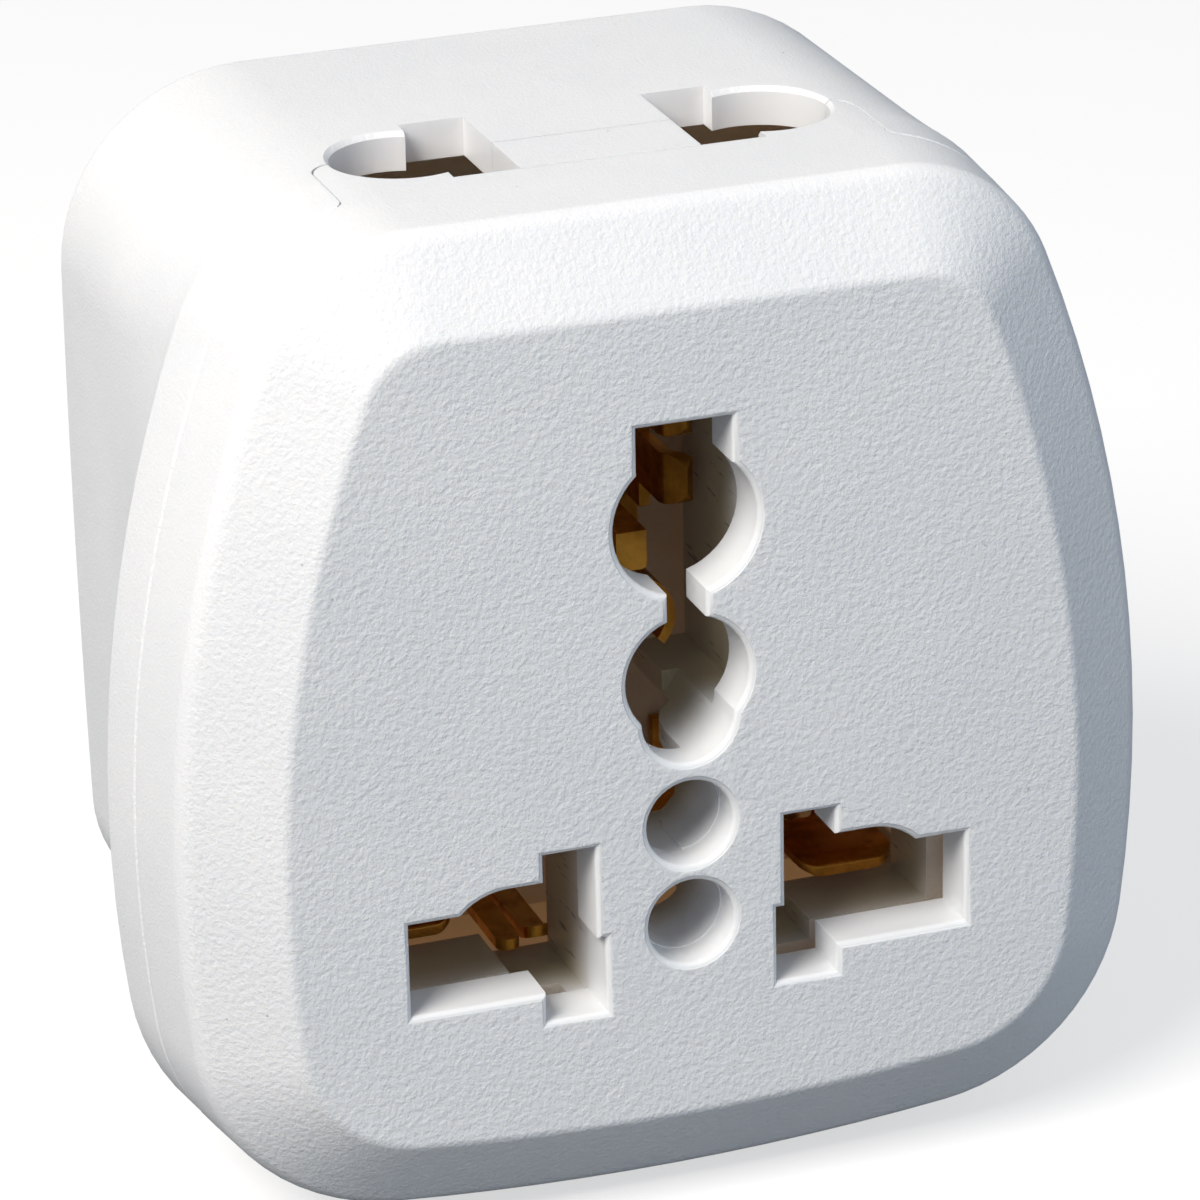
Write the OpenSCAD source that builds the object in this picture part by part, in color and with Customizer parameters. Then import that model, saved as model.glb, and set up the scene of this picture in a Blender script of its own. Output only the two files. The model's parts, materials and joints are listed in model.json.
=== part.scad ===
// Universal travel adapter: a socket face that takes many plugs, a two-pole socket on top,
// and a three-pin plug with a fuse on the back.
// Frame: +X to the right as seen from the socket face, +Y from the socket face to the plug, +Z up.
// Origin: on the plug face, half way between the centres of the live and neutral pins.
// Inside the modules, depths run from the socket face (0) back to the plug face (body_depth).

/* [Body] */
// Depth from the socket face to the plug face
body_depth = 32.5; // [32.4:0.1:33.5]
// Half width of the rear body
body_half_w = 22.3; // [22:0.1:22.8]
// Height of the flat top above the live and neutral pins
body_top = 36.7; // [36.5:0.1:37]
// Height of the underside of the rear body, below the pins
body_bottom = -10; // [-10.4:0.1:-9.8]
// Radius of the two upper corners of the rear body
body_top_r = 10; // [9.6:0.1:10.2]
// Radius of the two lower corners of the rear body
body_bottom_r = 7; // [6.8:0.1:7.2]
// Thickness of the moulded walls
wall = 2; // [1.8:0.05:2.1]
// Radius of the soft edge around the plug face
plug_edge_r = 0.7; // [0.5:0.1:0.9]

/* [Socket face] */
// Half width of the flat face at its widest
face_half_w = 20.65; // [20.3:0.05:20.8]
// Height at which the face is widest
face_wide_z = 4.5; // [4:0.1:5]
// Radius of the bulging sides
face_side_r = 68; // [66:1:70]
// Height of the face's straight upper edge
face_top = 32.15; // [32:0.05:32.3]
// Radius of the face's upper corners
face_top_r = 4; // [3.8:0.1:4.2]
// Height of the middle of the face's lower edge
face_bottom = -10.45; // [-10.6:0.05:-10.3]
// Radius of the gently bowed lower edge
face_floor_r = 140; // [130:1:160]
// Radius of the face's lower corners
face_bottom_r = 6.5; // [6:0.1:7]
// Width of the bevel around the face
bevel_w = 4.55; // [4.5:0.05:4.6]
// Depth of the bevel
bevel_depth = 3; // [2.8:0.1:3.2]
// Depth of the seam between the cover and the housing
seam_depth = 8.3; // [8.2:0.1:8.4]
// How far the side wall flares out from the bevel to the seam
flare = 0.7; // [0.5:0.05:0.8]
// Thickness of the socket plate
plate_t = 3; // [2.9:0.05:3.1]

/* [Socket holes] */
// Half spacing of the live and neutral pins
pole_x = 11.1; // [11.05:0.05:11.15]
// Height of the earth pin above the live and neutral pins
earth_z = 22.2; // [22.1:0.05:22.3]
// Radius of the two small round holes
small_hole_r = 2.25; // [2.2:0.05:2.3]
// Distance between the two small round holes
small_hole_pitch = 5.35; // [5.3:0.05:5.4]
// Radius of the soft edge around every hole in the face
rim_r = 0.35; // [0.3:0.05:0.4]

/* [Top socket] */
// Half spacing of the round holes on top
top_hole_x = 9.35; // [9.3:0.05:9.5]
// Radius of the round holes on top
top_hole_r = 3.5; // [3.4:0.05:3.6]
// Depth of the holes' centre line behind the face
top_hole_depth = 14.2; // [14.1:0.1:14.3]
// Half width of the cover's tongue between the holes
tongue_half_w = 14; // [13.9:0.05:14.1]

/* [Plug] */
// Length of the live and neutral pins
power_pin_l = 17.7; // [17.5:0.1:18]
// Length of the earth pin
earth_pin_l = 22.7; // [22.5:0.1:23]
// Length of the insulating sleeve on the live and neutral pins
sleeve_l = 9.2; // [9:0.1:9.5]
// Height of the fuse's centre above the live and neutral pins
fuse_z = 10.1; // [10:0.05:10.2]

/* [Hidden] */

$fn = 64;
gap = 0.1;          // running clearance between pieces that slip together
touch = 0.03;       // clearance between pieces that rest on each other
over = 1;           // how far a cut runs past the surface it opens

// Outline steps
corner_steps = 14;
side_steps = 14;
floor_steps = 6;
edge_steps = 4;

// Rim, where the housing is widest, and the blend from it to the rear body
rim_depth = 11.8;
blend_end = 25;
blend_power = 2.6;
blend_ease = 0.1;
seam_chamfer = 0.14;
seam_half_gap = 0.04;

// Socket plate openings
earth_slot = [4.9, 7.7];                    // width and height
earth_slot_top = 26.35;
big_hole_r = 3.7;
big_hole_z = 21.15;
us_earth_r = 3.2;
us_earth_z = 13.1;
low_earth_r = 2.4;
low_earth_z = 11;
neck_w = 2;
power_slot_x = [7.6, 14.6];
power_slot_z = [-2.55, 2.38];
blade_slot_x = [4.95, 7.65];
blade_slot_z = [-4.1, 4.9];
low_blade_x = 4.5;                          // inner edge of the blade slot's lower half
low_blade_z = -0.05;
round_pin_x = 9.5;
round_pin_r = 3.42;

// Chambers behind the socket plate
chamber_depth = 9.5;
chamber_end_x = 14.45;                      // inside of each power chamber's outer wall
chamber_floor = -3.4;
block_front = 4.8;                          // front of the open part of the chambers' walls
earth_chamber_depth = 12;
earth_chamber_z = 10.2;
tube_depth = 6.8;
tube_ledge = 2;                             // depth of the small step inside the two round holes
tube_step = 0.06;

// Sheet metal
leaf_t = 0.4;
strip_t = 0.6;
web_depth = 18.5;                           // front of the power contacts' back webs
plate_depth = web_depth + strip_t + 0.15;   // front of the insulating plate
insulator_t = 1.45;
insulator_top = 29.4;
link_depth = 21.2;
clip_depth = 22.7;
clip_t = 0.5;
tail_end = clip_depth + clip_t + touch;

// Power contact: the fixed upper leaf and the flexing lower leaf
power_pin = [6.35, 4];                      // width and height of the pin
leaf_x = [7.75, 13.75];
live_leaf_x = [8.5, 13.75];
neutral_leaf_x = [9.7, 13.75];
live_leaf_tip = 7;                          // depths of the two flexing leaves' front ends
neutral_leaf_tip = 7.9;
leaf_top = -1.35;
blade_finger = [4.7, 7.5];                  // x limits of the finger under a flat blade
blade_finger_z = [-3.85, -3.25];
leaf_hinge = [15.2, -2.75];                 // depth and height of the rivet
foot_gap = 0.1;                             // room for the leaf to rock under its rivet
rivet_r = 0.7;
rivet_hole_r = 0.85;
rivet_head = [1.1, 0.4];                    // radius and thickness of the rivets' heads

// Earth contact
earth_pin_size = [4, 8];
earth_leaf_z = [18.6, 25.6];
earth_lower_z = [18.5, 21.2];               // the fixed earth leaf's two fingers
earth_upper_z = [22.1, 25.5];
earth_floor_z = 17.2;                       // underside of the channel below the earth pin
sleeve_r = [1.75, 2.25];                    // inside and outside of the sleeve for round pins
sleeve_front = 8;
earth_web = [14.5, 15.1];                   // depths of the plate that carries the sleeve
earth_leaf_hinge = [14.8, -3.1];            // depth and x of the rivet
earth_back = 19;                            // rear end of the earth contact

// Top socket
top_slot_x = [4.65, 8.05];
top_slot_depth = [9.85, 18.65];
top_wall_z = body_top - wall;                // underside of the wall around the holes
top_rim_r = 0.25;
top_contact_z = [15.6, 28.9];
top_leaf_hinge = [7.58, 17.2];              // x and height of the rivet
top_leaf_depth = [12.8, 15.8];

// Plug pins
flange_depth = [29.3, 30.46];
flange_margin = 0.6;
retainer_depth = [28, 29.25];
earth_tail_end = 24.05;
core_inset = 0.55;
bay = [29.2, 9];                            // width and height of the fuse drawer's opening
bay_wall = 1.1;
fuse_r = 3.175;
fuse_l = 25.4;
cap_l = 6.2;
fuse_depth = 26.6;

// Screws
screw_at = [[17.3, 27.5], [-17.3, 27.5], [16.5, -5.2], [-16.5, -5.2]];
post_r = 2.4;
housing_post_r = 3;
post_end = 22;
screw_hole_r = 1.5;
screw_clear_r = 1.65;
head_r = 2.1;
head_seat = 28.6;
recess_r = 2.3;

white = "#eeeff2";
nylon = "#d9d7cf";
brass_colour = "#c49a45";
bronze = "#b27a3c";
plated = "#c9c7c0";
black = "#1b1c1f";
ceramic = "#f2efe6";

// ---- functions -------------------------------------------------------------------------------

function unit(v) = v / norm(v);

// Limits that lie h to each side of c
function about(c, h) = [c - h, c + h];

// Points along an arc, n steps from angle a0 to a1
function arc(c, r, a0, a1, n) =
    [for (i = [0:n]) let (a = a0 + (a1 - a0) * i / n) c + r * [cos(a), sin(a)]];

function tail(list) = [for (i = [1:len(list) - 1]) list[i]];

// Where two circles cross, on the side of larger x
function meet(c1, r1, c2, r2) =
    let (d = norm(c2 - c1), u = (c2 - c1) / d, a = (d * d + r1 * r1 - r2 * r2) / (2 * d),
         h = sqrt(r1 * r1 - a * a), p = c1 + a * u,
         q1 = p + h * [-u[1], u[0]], q2 = p - h * [-u[1], u[0]])
    q1[0] > q2[0] ? q1 : q2;

// A closed outline with a straight top, bulging sides and a bowed floor, symmetric in x
function outline(half_w, side_r, wide_z, top, top_r, bottom, floor_r, bottom_r) =
    let (
        side_c = [half_w - side_r, wide_z],
        tz = top - top_r,
        tx = side_c[0] + sqrt(pow(side_r - top_r, 2) - pow(tz - wide_z, 2)),
        floor_c = [0, bottom + floor_r],
        low_c = meet(side_c, side_r - bottom_r, floor_c, floor_r - bottom_r),
        a_top = atan2(tz - wide_z, tx - side_c[0]),
        a_low = atan2(low_c[1] - wide_z, low_c[0] - side_c[0]),
        a_floor = atan2(low_c[1] - floor_c[1], low_c[0]),
        right = concat(
            arc([tx, tz], top_r, 90, a_top, corner_steps),
            tail(arc(side_c, side_r, a_top, a_low, side_steps)),
            tail(arc(low_c, bottom_r, a_low, a_floor, corner_steps)),
            tail(arc(floor_c, floor_r, a_floor, -90, floor_steps)))
    )
    concat(right, [for (i = [len(right) - 2:-1:0]) [-right[i][0], right[i][1]]]);

// Outline of the cover and its rim, d outside the flat face's edge, drawn in by inset
function rim_outline(d, inset = 0) =
    let (g = d - inset)
    outline(face_half_w + g, face_side_r + g, face_wide_z,
            min(face_top + d, body_top) - inset, face_top_r + g,
            face_bottom - g, face_floor_r + g, face_bottom_r + g);

// Outline of the rear body, whose sides and floor are almost straight
function body_outline(inset = 0) =
    outline(body_half_w - inset, 900, (body_top + body_bottom) / 2,
            body_top - inset, body_top_r - inset,
            body_bottom + inset, 900, body_bottom_r - inset);

function mix(a, b, m) = [for (i = [0:len(a) - 1]) (1 - m) * a[i] + m * b[i]];

// How far the housing has blended from rim to body, t from 0 at the rim to 1
function blend(t) =
    (1 - pow(1 - t, blend_power)) * (1 - pow(1 - min(1, t / blend_ease), 2));

// A rounded corner at v on a path from a to b
function round_corner(a, v, b, r, n) =
    let (u = unit(a - v), w = unit(b - v), half = acos(u * w) / 2,
         c = v + unit(u + w) * r / sin(half), t = r / tan(half),
         p = v + u * t - c, q = v + w * t - c,
         a0 = atan2(p[1], p[0]), turn = atan2(q[1], q[0]) - a0,
         a1 = a0 + turn - 360 * round(turn / 360))
    arc(c, r, a0, a1, n);

// ---- shared shapes ---------------------------------------------------------------------------

// Moves a piece drawn from the socket face back to the frame's origin
module from_face() {
    translate([0, -body_depth, 0]) children();
}

// A solid through a list of outlines, each [depth, points], front to back
module loft(sections) {
    n = len(sections[0][1]);
    m = len(sections);
    polyhedron(
        points = [for (s = sections) for (p = s[1]) [p[0], s[0], p[1]]],
        faces = concat(
            [[for (i = [0:n - 1]) i]],
            [[for (i = [n - 1:-1:0]) (m - 1) * n + i]],
            [for (s = [0:m - 2]) for (i = [0:n - 1]) [s * n + i, (s + 1) * n + i, (s + 1) * n + (i + 1) % n]],
            [for (s = [0:m - 2]) for (i = [0:n - 1]) [s * n + i, (s + 1) * n + (i + 1) % n, s * n + (i + 1) % n]]),
        convexity = 6);
}

// A block between two corners
module block(x, y, z) {
    translate([min(x), min(y), min(z)])
        cube([abs(x[1] - x[0]), abs(y[1] - y[0]), abs(z[1] - z[0])]);
}

// A flat shape drawn in x and z, filled from depth y0 to y1
module slab(y0, y1) {
    translate([0, y1, 0]) rotate([90, 0, 0]) linear_extrude(y1 - y0) children();
}

// A round bar along the depth
module bar(x, z, r, y0, y1) {
    translate([x, y0, z]) rotate([-90, 0, 0]) cylinder(r = r, h = y1 - y0);
}

// Both of a pair, left and right
module both() {
    children();
    mirror([1, 0, 0]) children();
}

module rect(x, z) {
    translate([min(x), min(z)]) square([abs(x[1] - x[0]), abs(z[1] - z[0])]);
}

// Profile of the soft edge of a hole: x is the distance outside the wall, y the depth
function rim_profile(r) = concat([[-over, -over], [r, -over]], arc([r, r], r, 270, 180, edge_steps * 2), [[-over, r]]);

// Soft edge around a round hole
module round_rim(x, z, r) {
    translate([x, 0, z]) rotate([-90, 0, 0])
        rotate_extrude() polygon([for (p = rim_profile(rim_r)) [p[0] < 0 ? 0 : r + p[0], p[1]]]);
}

// Cross section of the cut that softens two opposite edges, w apart
module rim_section(w) {
    half = [for (p = rim_profile(rim_r)) [w / 2 + max(p[0], 0), p[1]]];
    flip = [for (i = [len(half) - 1:-1:0]) [-half[i][0], half[i][1]]];
    polygon(concat(half, flip));
}

// Soft edge around a rectangular hole
module rect_rim(x, z) {
    cx = (x[0] + x[1]) / 2;
    cz = (z[0] + z[1]) / 2;
    w = abs(x[1] - x[0]);
    h = abs(z[1] - z[0]);
    translate([cx, 0, cz]) intersection() {
        translate([0, 0, -h / 2 - over]) linear_extrude(h + 2 * over) rim_section(w);
        translate([-w / 2 - over, 0, 0]) rotate([90, 0, 90]) linear_extrude(w + 2 * over)
            rim_section_depth_up(h);
    }
}

// The same cross section, drawn with the depth along the first axis
module rim_section_depth_up(w) {
    rotate([0, 0, 90]) mirror([0, 1, 0]) rim_section(w);
}

// ---- socket openings -------------------------------------------------------------------------

// Everything that is open in the socket plate, drawn in x and z
module earth_openings_2d() {
    rect([-earth_slot[0] / 2, earth_slot[0] / 2], [earth_slot_top - earth_slot[1], earth_slot_top]);
    translate([0, big_hole_z]) circle(big_hole_r);
    rect([-neck_w / 2, neck_w / 2], [us_earth_z, big_hole_z]);
    translate([0, us_earth_z]) circle(us_earth_r);
}

module power_openings_2d() {
    rect(power_slot_x, power_slot_z);
    rect(blade_slot_x, blade_slot_z);
    rect([low_blade_x, blade_slot_x[1]], [blade_slot_z[0], low_blade_z]);
    intersection() {
        translate([round_pin_x, 0]) circle(round_pin_r);
        rect([blade_slot_x[1] - over, power_slot_x[1]], [0, 2 * round_pin_r]);
    }
    rect([blade_slot_x[1] - over, round_pin_x], [0, round_pin_r]);
}

module socket_holes() {
    slab(-over, plate_t + over) {
        earth_openings_2d();
        power_openings_2d();
        mirror([1, 0]) power_openings_2d();
    }
    bar(0, low_earth_z, low_earth_r, -over, tube_depth + over);
    for (k = [0, 1]) {
        bar(0, k * small_hole_pitch, small_hole_r, -over, tube_ledge);
        bar(0, k * small_hole_pitch, small_hole_r - tube_step, -over, tube_depth + over);
        round_rim(0, k * small_hole_pitch, small_hole_r);
    }
    round_rim(0, low_earth_z, low_earth_r);
    round_rim(0, us_earth_z, us_earth_r);
    round_rim(0, big_hole_z, big_hole_r);
    rect_rim([-earth_slot[0] / 2, earth_slot[0] / 2], [earth_slot_top - earth_slot[1], earth_slot_top]);
    rect_rim([-neck_w / 2, neck_w / 2], [us_earth_z, big_hole_z]);
    both() {
        rect_rim(power_slot_x, power_slot_z);
        rect_rim(blade_slot_x, blade_slot_z);
        rect_rim([low_blade_x, blade_slot_x[1]], [blade_slot_z[0], low_blade_z]);
        rect_rim([blade_slot_x[1] - over, round_pin_x], [0, round_pin_r]);
        intersection() {
            round_rim(round_pin_x, 0, round_pin_r);
            block([blade_slot_x[1] - rim_r, power_slot_x[1]], [-2 * over, plate_t], [0, 2 * round_pin_r]);
        }
    }
}

// Spaces behind the socket plate for the contacts
module chambers() {
    back = plate_t - touch;
    low = blade_slot_z[0] - 0.4;
    both() {
        block([power_slot_x[0] - over, chamber_end_x], [back, chamber_depth + over],
              [chamber_floor, power_slot_z[1] + 1.4]);
        block([low_blade_x - 0.1, blade_slot_x[1] + 0.4], [back, chamber_depth + over],
              [low, blade_slot_z[1] + 0.4]);
        // The chambers stand clear of the plate below and at their outer ends
        block([low_blade_x + 0.9, chamber_end_x + 3], [back, block_front], [low - 2, chamber_floor + over]);
        block([chamber_end_x - over, chamber_end_x + 3], [back, block_front], [low, 3.2]);
    }
    block([-4.2, 4.2], [back, earth_chamber_depth + over], [earth_chamber_z, earth_slot_top + 0.65]);
    // Left of the tubes, the earth chamber has no floor
    block([-4.2, 1.4], [tube_depth - touch, earth_chamber_depth + over], [low_earth_z - 3, earth_chamber_z + over]);
    block([-4.2, 0.22], [tube_ledge, tube_depth], [low_earth_z - 3, earth_chamber_z + over]);
    tower(small_hole_r + 0.85, us_earth_z) tube_cut();
}

// Plan of the space cut out of the left side of the tubes
module tube_cut() {
    polygon([[-3, tube_ledge], [0.22, tube_ledge], [0.22, 4.3], [0.41, 5.6], [0.73, 6.4], [1.4, tube_depth],
             [1.4, tube_depth + over], [-3, tube_depth + over]]);
}

// ---- outer shells ----------------------------------------------------------------------------

bevel_path = [[-over, 0], [0, 0], [bevel_w, bevel_depth], [bevel_w + flare, seam_depth]];
seam_d = bevel_w + flare;

// Distance outside the face's edge, and depth, along the cover's outside
cover_path = concat(
    round_corner(bevel_path[0], bevel_path[1], bevel_path[2], 0.9, edge_steps),
    round_corner(bevel_path[1], bevel_path[2], bevel_path[3], 1.7, edge_steps + 2),
    [[seam_d - 0.02, seam_depth - seam_half_gap - seam_chamfer]]);

module cover_outside() {
    last = cover_path[len(cover_path) - 1];
    loft(concat(
        [[-0.2, rim_outline(cover_path[0][0])]],
        [for (p = cover_path) [p[1], rim_outline(p[0])]],
        [[seam_depth - seam_half_gap, rim_outline(last[0], seam_chamfer)]]));
}

module cover_inside() {
    loft([[plate_t, rim_outline(0, 0.2)],
          [bevel_depth + 2.2, rim_outline(bevel_w, wall - 0.3)],
          [seam_depth + over, rim_outline(seam_d, wall)]]);
}

// Plan of the tongue, from inside the cover to the holes' centre line
module tongue_plan(extra) {
    w = tongue_half_w + extra;
    r = 0.9;
    difference() {
        union() {
            rect([-w, w], [seam_depth - 2, top_hole_depth - r]);
            rect([-w + r, w - r], [seam_depth - 2, top_hole_depth - seam_half_gap + extra]);
            for (s = [-1, 1]) translate([s * (w - r), top_hole_depth - r - seam_half_gap + extra]) circle(r);
            for (s = [-1, 1]) translate([s * w, seam_depth]) square(1.4, center = true);
        }
        for (s = [-1, 1]) translate([s * (w + 0.7), seam_depth + 0.7]) circle(0.7);
    }
}

// A plan drawn in x and depth, filled between two heights
module tower(z0, z1) {
    translate([0, 0, z0]) linear_extrude(z1 - z0) children();
}

// The top socket's round holes and slots, cut down from the top
module top_holes() {
    both() {
        tower(top_wall_z - over, body_top + over) {
            translate([top_hole_x, top_hole_depth]) circle(top_hole_r);
            rect(top_slot_x, top_slot_depth);
        }
        translate([top_hole_x, top_hole_depth, body_top - top_rim_r])
            cylinder(r1 = top_hole_r, r2 = top_hole_r + 2 * top_rim_r, h = 2 * top_rim_r);
    }
}

module front_cover() {
    color(white) from_face() {
        difference() {
            union() {
                difference() {
                    cover_outside();
                    cover_inside();
                }
                // Blocks that carry the pin chambers and tubes
                both() block([2.6, 15.9], [plate_t - over, chamber_depth], [-5.6, 6.4]);
                block([-3.6, 3.6], [plate_t - over, tube_depth], [-3.4, earth_chamber_z]);
                block([-5.4, 5.4], [plate_t - over, earth_chamber_depth], [earth_chamber_z - 1.2, earth_slot_top + 1.8]);
                // Tongue with the front half of the top socket
                intersection() {
                    slab(seam_depth - 2, top_hole_depth) polygon(body_outline());
                    tower(top_wall_z, body_top + over) tongue_plan(0);
                }
                // Lip that lines up the housing
                difference() {
                    slab(seam_depth - over, seam_depth + 1.5) polygon(rim_outline(seam_d, wall + gap));
                    slab(seam_depth - 2 * over, seam_depth + 2) polygon(rim_outline(seam_d, wall + gap + 0.9));
                    block([-16, 16], [seam_depth - 2 * over, seam_depth + 2], [top_wall_z - wall, body_top]);
                }
                for (p = screw_at) bar(p[0], p[1], post_r, plate_t, post_end);
            }
            // True flat for the socket face
            block([-40, 40], [-over, 0], [-40, 60]);
            socket_holes();
            chambers();
            top_holes();
            for (p = screw_at) bar(p[0], p[1], screw_hole_r, 9, post_end + over);
            // Fine line between the front ends of the top slots
            block([-top_slot_x[0], top_slot_x[0]], [top_slot_depth[0] - 0.06, top_slot_depth[0] + 0.06],
                  [body_top - 0.08, body_top + over]);
        }
    }
}

blend_t = [0, 0.02, 0.045, 0.07, 0.1, 0.16, 0.24, 0.34, 0.46, 0.6, 0.78, 1];
rim_flare = 0.4;

function blended(t, inset = 0) =
    mix(rim_outline(seam_d + rim_flare, inset), body_outline(inset), blend(t));

module housing_outside() {
    loft(concat(
        [[seam_depth + seam_half_gap, rim_outline(seam_d, seam_chamfer)],
         [seam_depth + seam_half_gap + seam_chamfer, rim_outline(seam_d)]],
        [for (t = blend_t) [rim_depth + t * (blend_end - rim_depth), blended(t)]],
        [for (a = [0:90 / (edge_steps + 2):85])
            [body_depth - plug_edge_r + plug_edge_r * sin(a), body_outline(plug_edge_r * (1 - cos(a)))]],
        [[body_depth + 0.2, body_outline(plug_edge_r)]]));
}

module housing_inside() {
    loft(concat(
        [[seam_depth - over, rim_outline(seam_d, wall)]],
        [for (t = [0, 0.16, 0.46, 1]) [rim_depth + t * (blend_end - rim_depth), blended(t, wall)]],
        [[body_depth - wall, body_outline(wall)]]));
}

// Rectangle of a power or earth pin, drawn in x and z
module pin_2d(size, extra = 0) {
    square([size[0] + 2 * extra, size[1] + 2 * extra], center = true);
}

module rear_housing() {
    color(white) from_face() {
        difference() {
            union() {
                difference() {
                    housing_outside();
                    housing_inside();
                }
                // Fuse bay
                block([-bay[0] / 2 - bay_wall, bay[0] / 2 + bay_wall], [clip_depth + 0.8, body_depth - over],
                      [fuse_z - bay[1] / 2 - bay_wall, fuse_z + bay[1] / 2 + bay_wall]);
                for (p = screw_at) bar(p[0], p[1], housing_post_r, post_end + gap, body_depth - over);
            }
            // True flat for the plug face
            block([-40, 40], [body_depth, body_depth + over], [-40, 60]);
            // Notch for the cover's tongue
            intersection() {
                slab(seam_depth - 2, top_hole_depth + seam_half_gap) polygon(body_outline(-over));
                tower(top_wall_z - over, body_top + over) tongue_plan(2 * seam_half_gap);
            }
            top_holes();
            block([-bay[0] / 2, bay[0] / 2], [clip_depth, body_depth + over],
                  [fuse_z - bay[1] / 2, fuse_z + bay[1] / 2]);
            for (s = [-1, 1]) translate([s * pole_x, 0, 0])
                slab(body_depth - 2 * wall, body_depth + over) pin_2d(power_pin, touch);
            translate([0, 0, earth_z]) slab(body_depth - 2 * wall, body_depth + over) pin_2d(earth_pin_size, touch);
            for (p = screw_at) {
                bar(p[0], p[1], screw_clear_r, post_end - over, body_depth + over);
                bar(p[0], p[1], recess_r, head_seat, body_depth + over);
            }
        }
    }
}

// ---- fasteners -------------------------------------------------------------------------------

screw_l = 15.5;
thread_pitch = 1.1;

// A pan head screw for plastic, its head seated at depth 0 and its tip towards the socket face
module screw() {
    turns = 9;
    rotate([90, 0, 0]) {
        rotate_extrude() polygon(concat(
            [[0, screw_l], [1.05, screw_l - 1.4]],
            [for (k = [turns:-1:0]) each [[1.05, screw_l - 2.4 - (turns - k) * thread_pitch + 0.45],
                                          [1.45, screw_l - 2.4 - (turns - k) * thread_pitch],
                                          [1.05, screw_l - 2.4 - (turns - k) * thread_pitch - 0.35]]],
            [[1.05, 0], [head_r, 0], [head_r, -0.9]],
            arc([0.2, -0.9], head_r - 0.2, 0, -60, edge_steps),
            [[0, -0.9 - (head_r - 0.2) * sin(60)]]));
    }
}

module cross_recess() {
    for (a = [0, 90]) rotate([0, a, 0]) block([-1.25, 1.25], [1.6, 4], [-0.3, 0.3]);
}

module housing_screws() {
    color("#8d9096") from_face()
        for (p = screw_at) translate([p[0], head_seat - touch + 0.06, p[1]]) difference() {
            screw();
            cross_recess();
        }
}

// ---- insulator -------------------------------------------------------------------------------

module insulating_plate() {
    cut = [plate_depth - over, plate_depth + insulator_t + over];
    color(nylon) from_face() difference() {
        slab(plate_depth, plate_depth + insulator_t) polygon(body_outline(wall + 0.8));
        for (p = screw_at) bar(p[0], p[1], post_r + gap, cut[0], cut[1]);
        both() block([9.4, 12.8], cut, [-0.8, 0.2]);
        block([-5.2, 3.2], cut, [earth_floor_z - 0.4, earth_leaf_z[1] + 1]);
        block([-30, 30], cut, [insulator_top, body_top]);
    }
}

// ---- front contacts --------------------------------------------------------------------------

// A strip of thickness t that follows a path, on the left of its direction of travel
module ribbon(path, t) {
    n = len(path);
    lift = [for (i = [0:n - 1])
        let (a = path[max(i - 1, 0)], b = path[min(i + 1, n - 1)], u = unit(b - a))
        path[i] + t * [-u[1], u[0]]];
    polygon(concat(path, [for (i = [n - 1:-1:0]) lift[i]]));
}

// Sheet metal bent in depth and height, between two x positions
module sheet_x(x, path, t) {
    translate([x[0], 0, 0]) rotate([90, 0, 90]) linear_extrude(x[1] - x[0]) ribbon(path, t);
}

// Sheet metal bent in x and depth, between two heights
module sheet_z(z, path, t) {
    translate([0, 0, z[0]]) linear_extrude(z[1] - z[0]) ribbon(path, t);
}

// Sheet metal bent in x and height, between two depths
module sheet_y(y, path, t) {
    slab(y[0], y[1]) ribbon(path, t);
}

// Plan of a tongue with a round front corner on each side, from depth y0 back to y1
module tongue_end(x, y0, y1, r) {
    rect(x, [y0 + r, y1]);
    rect([x[0] + r, x[1] - r], [y0, y1]);
    for (c = [x[0] + r, x[1] - r]) translate([c, y0 + r]) circle(r);
}

// The live contact; the neutral one is its mirror image
module power_contact_shape() {
    under = power_pin[1] / 2 + 0.05;
    foot = leaf_hinge[1] - leaf_t / 2 - foot_gap;
    back = [web_depth, web_depth + strip_t];
    tip = 8;
    difference() {
        union() {
            // Upper leaf with its flared mouth
            sheet_x(leaf_x, [[6.9, under + 0.9], [7.5, under + 0.3], [8.4, under], [back[1], under]], strip_t);
            // Back web, and the foot that carries the flexing leaf
            block([blade_finger[0], leaf_x[1]], back, [blade_finger_z[0], under + strip_t]);
            block(leaf_x, [leaf_hinge[0] - 0.7, back[1]], [foot - strip_t, foot]);
            // Two prongs under a flat blade, the inner one bent up at its mouth
            tower(blade_finger_z[0], blade_finger_z[1]) tongue_end([6.25, blade_finger[1]], tip, back[1], 0.55);
            intersection() {
                sheet_x(blade_finger, [[tip - over, -2.62], [tip + 0.1, -2.78], [tip + 1.2, blade_finger_z[1]],
                                       [back[1], blade_finger_z[1]]], -strip_t);
                tower(-5, 0) tongue_end([blade_finger[0], 5.95], tip, back[1], 0.55);
            }
        }
        translate([pole_x, leaf_hinge[0], -2 * power_pin[1]]) cylinder(r = rivet_r + touch, h = power_pin[1] + 3);
    }
}

// A flexing leaf between two x positions, its round-cornered front end at depth tip
module spring_leaf_shape(x, tip) {
    low = leaf_top - leaf_t;
    foot = leaf_hinge[1] - leaf_t / 2;
    end = leaf_hinge[0] + 0.8;
    difference() {
        intersection() {
            sheet_x(x, [[tip - over, low - 0.9], [tip, low - 0.5], [tip + 0.3, low - 0.25], [tip + 0.9, low],
                        [12.2, low], [14, foot], [end, foot]], leaf_t);
            tower(-5, 0) tongue_end(x, tip, end + over, 1.2);
        }
        translate([pole_x, leaf_hinge[0], -2 * power_pin[1]]) cylinder(r = rivet_hole_r, h = power_pin[1] + 3);
    }
}

module live_contact() {
    color(brass_colour) from_face() power_contact_shape();
}

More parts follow.
